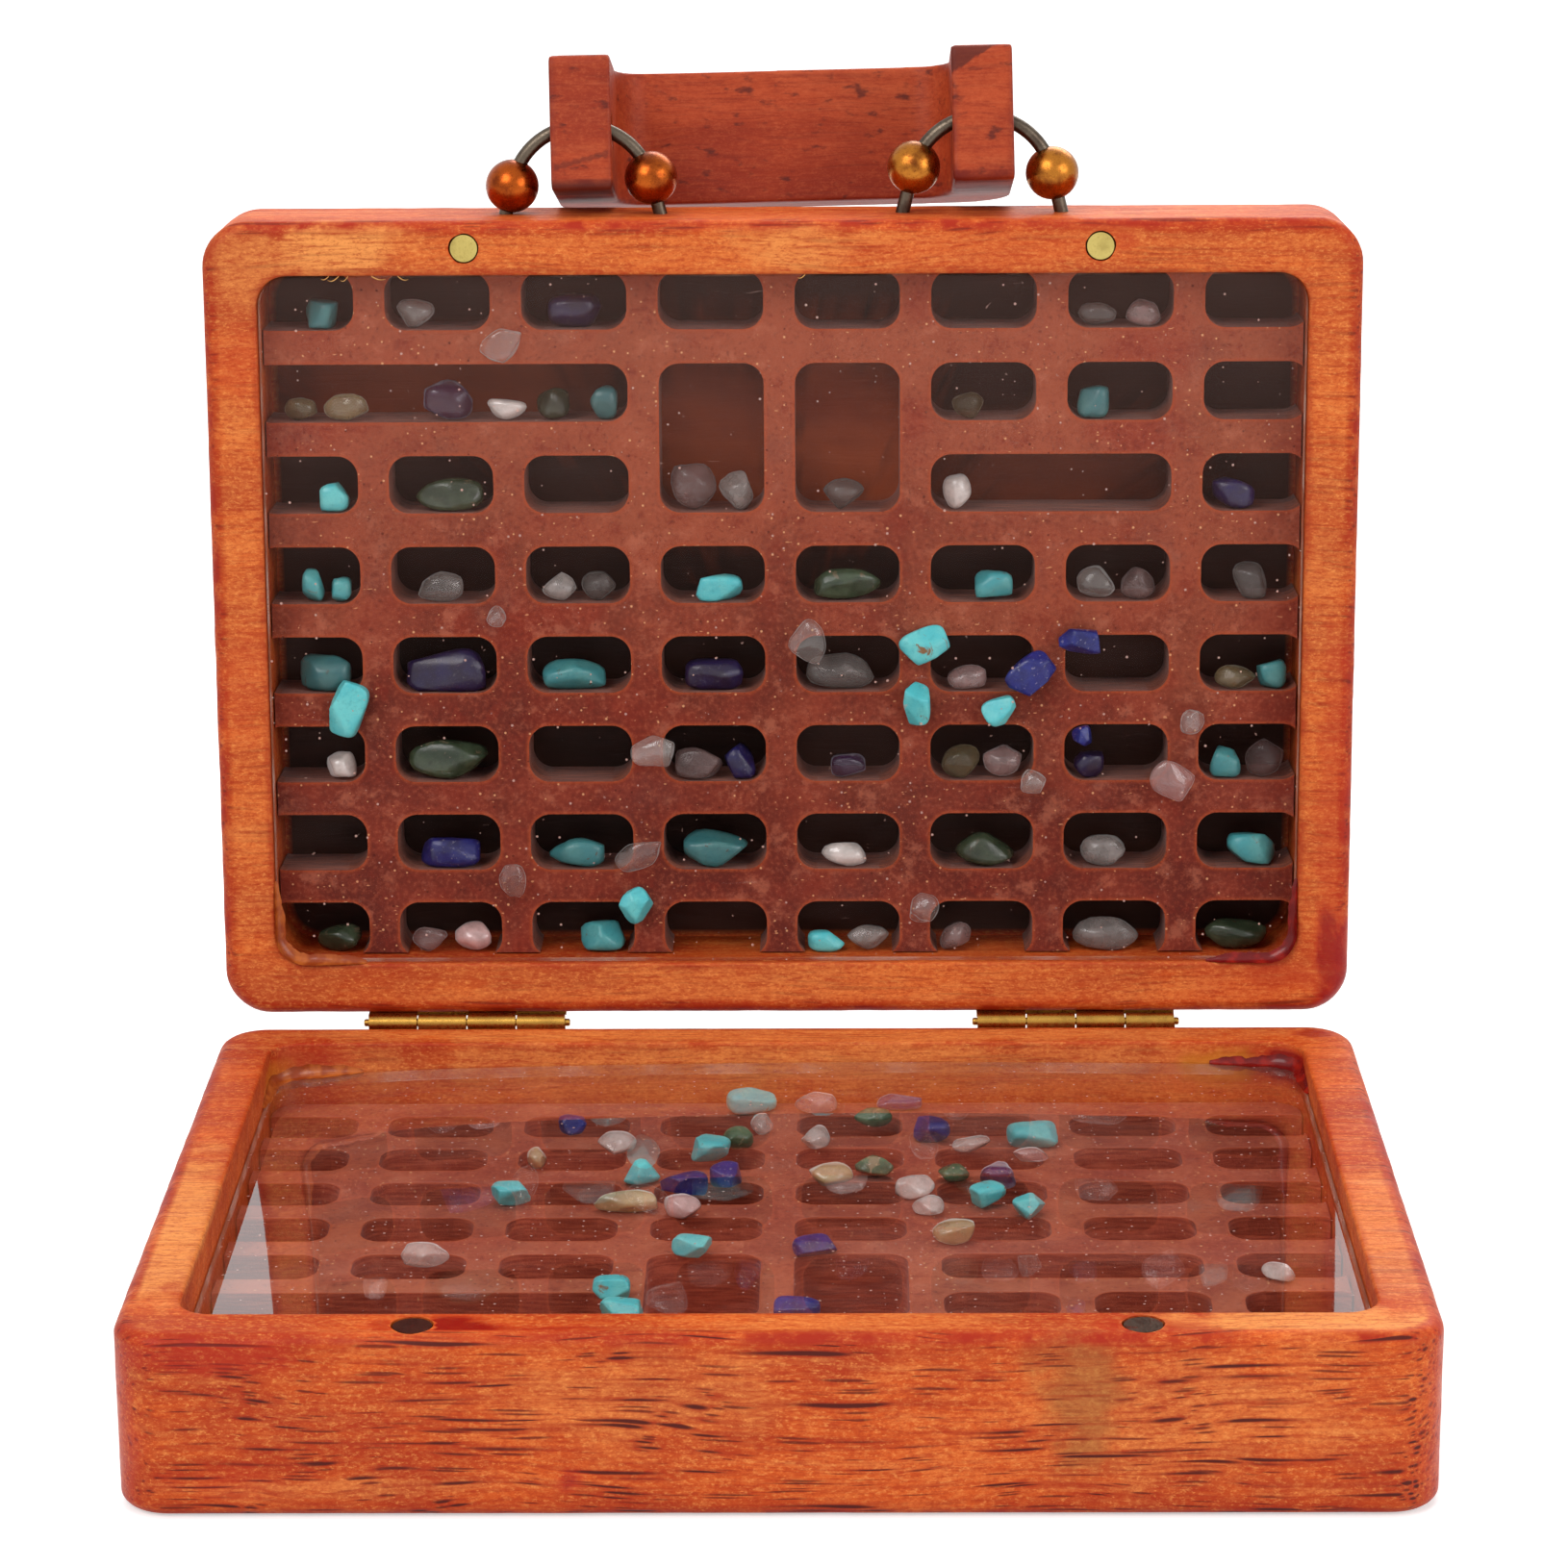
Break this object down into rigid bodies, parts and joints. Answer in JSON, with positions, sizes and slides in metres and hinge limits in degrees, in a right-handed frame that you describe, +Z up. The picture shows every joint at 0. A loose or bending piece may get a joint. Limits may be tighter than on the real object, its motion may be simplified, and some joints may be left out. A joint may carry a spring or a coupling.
{
  "type": "mineral specimen box",
  "caption": "Small stained-wood mineral specimen box standing open, with cell boards under clear windows, brass hinges, rim magnets and a wooden handle on beaded wire staples.",
  "frame": {"origin": "centre of the flat underside of the base tray, in the plane of the surface it stands on", "axes": "+Z up, +X to the right seen from the front, +Y back towards the hinges; the lid stands open above the back edge"},
  "size_m": [0.15, 0.1461, 0.1506],
  "materials": {
    "orange_wood": "satin",
    "red_wood": "satin",
    "cell_board": "matte",
    "window_plastic": "gloss",
    "glue": "gloss",
    "dark_steel": "satin",
    "pale_brass": "satin",
    "hinge_brass": "satin",
    "bead_brass": "satin",
    "wire_steel": "satin",
    "turquoise": "polished",
    "lapis": "polished",
    "clear_quartz": "polished",
    "rose_quartz": "polished",
    "citrine": "polished",
    "green_agate": "polished",
    "amethyst": "polished"
  },
  "bodies": {
    "base": {"base_shell": "orange_wood", "base_board": "cell_board", "base_window": "window_plastic", "base_window_glue": "glue", "base_magnet_left": "dark_steel", "base_magnet_right": "dark_steel", "left_hinge_base_leaf": "hinge_brass", "right_hinge_base_leaf": "hinge_brass", "left_hinge_pin": "hinge_brass", "right_hinge_pin": "hinge_brass", "base_hinge_nails": "hinge_brass", "base_turquoise_chips": "turquoise", "base_lapis_chips": "lapis", "base_clear_quartz_chips": "clear_quartz", "base_rose_quartz_chips": "rose_quartz", "base_citrine_chips": "citrine", "base_green_agate_chips": "green_agate", "base_amethyst_chips": "amethyst"},
    "lid": {"lid_shell": "orange_wood", "lid_board": "cell_board", "lid_window": "window_plastic", "lid_window_glue": "glue", "lid_magnet_left": "pale_brass", "lid_magnet_right": "pale_brass", "left_hinge_lid_leaf": "hinge_brass", "right_hinge_lid_leaf": "hinge_brass", "lid_hinge_nails": "hinge_brass", "left_handle_staple": "wire_steel", "right_handle_staple": "wire_steel", "left_outer_bead": "bead_brass", "left_inner_bead": "bead_brass", "right_inner_bead": "bead_brass", "right_outer_bead": "bead_brass", "lid_turquoise_chips": "turquoise", "lid_lapis_chips": "lapis", "lid_clear_quartz_chips": "clear_quartz", "lid_rose_quartz_chips": "rose_quartz", "lid_citrine_chips": "citrine", "lid_green_agate_chips": "green_agate", "lid_amethyst_chips": "amethyst"},
    "handle": {"handle_grip": "red_wood"}
  },
  "joints": [
    {"name": "lid_hinge", "type": "hinge", "parent": "base", "child": "lid", "pos_m": [0, 0.0541, 0.0221], "axis": [1, 0, 0], "range_deg": [0, 92.8]},
    {"name": "handle_swing", "type": "hinge", "parent": "lid", "child": "handle", "pos_m": [0, 0.06897, 0.13995], "axis": [0.9998, 0.001, 0.0211], "range_deg": [0, 194]}
  ]
}
